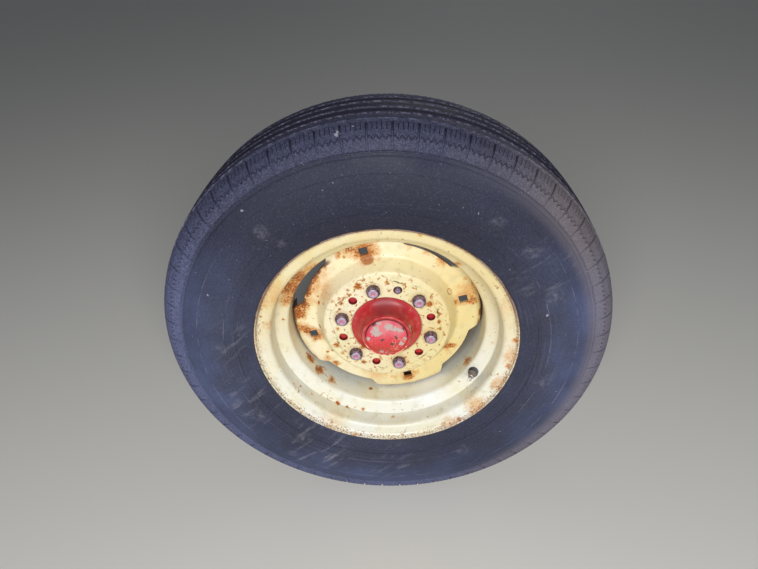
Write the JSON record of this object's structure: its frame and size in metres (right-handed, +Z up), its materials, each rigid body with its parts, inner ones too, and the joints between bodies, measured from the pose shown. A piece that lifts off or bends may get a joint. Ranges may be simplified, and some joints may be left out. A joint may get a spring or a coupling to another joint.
{
  "type": "farm wagon wheel with hub and spindle",
  "caption": "Worn farm wagon wheel: tyre on a drop-centre rim, lobed pressed disc with embossed pad, and a bell-nosed hub turning on a stub spindle.",
  "frame": {"origin": "centre of the spindle's shank at its cross-bolt hole, where the wagon's axle holds it", "axes": "+Y along the spindle, from the wheel's outer face towards the wagon; +Z up; +X to the right as the outer face is seen"},
  "size_m": [0.7249, 0.3073, 0.725],
  "materials": {
    "axle_steel": "bare steel with a brown film of rust",
    "hub_paint": "red paint over a cast surface, dusty",
    "cap_paint": "faded red paint, scuffed to bare grey",
    "seal_rubber": "black rubber, greasy",
    "wheel_paint": "cream paint, yellowed, with rust at edges and holes",
    "bolt_steel": "worn steel, lightly rusted",
    "valve_rubber": "matt black rubber",
    "valve_metal": "nickel-plated brass",
    "tyre_rubber": "weathered blue-grey rubber, finely cracked"
  },
  "bodies": {
    "carrier": {"spindle": "axle_steel"},
    "wheel": {"hub": "hub_paint", "dust_cap": "cap_paint", "grease_seal": "seal_rubber", "wheel_disc": "wheel_paint", "wheel_rim": "wheel_paint", "lug_bolt_1": "bolt_steel", "lug_bolt_2": "bolt_steel", "lug_bolt_3": "bolt_steel", "lug_bolt_4": "bolt_steel", "lug_bolt_5": "bolt_steel", "lug_bolt_6": "bolt_steel", "small_bolt": "bolt_steel", "valve_stem": "valve_rubber", "valve_end": "valve_metal", "tyre": "tyre_rubber"}
  },
  "joints": [
    {"name": "wheel_spin", "type": "hinge", "parent": "carrier", "child": "wheel", "pos_m": [0, -0.165, 0], "axis": [0, 1, 0], "continuous": true}
  ]
}
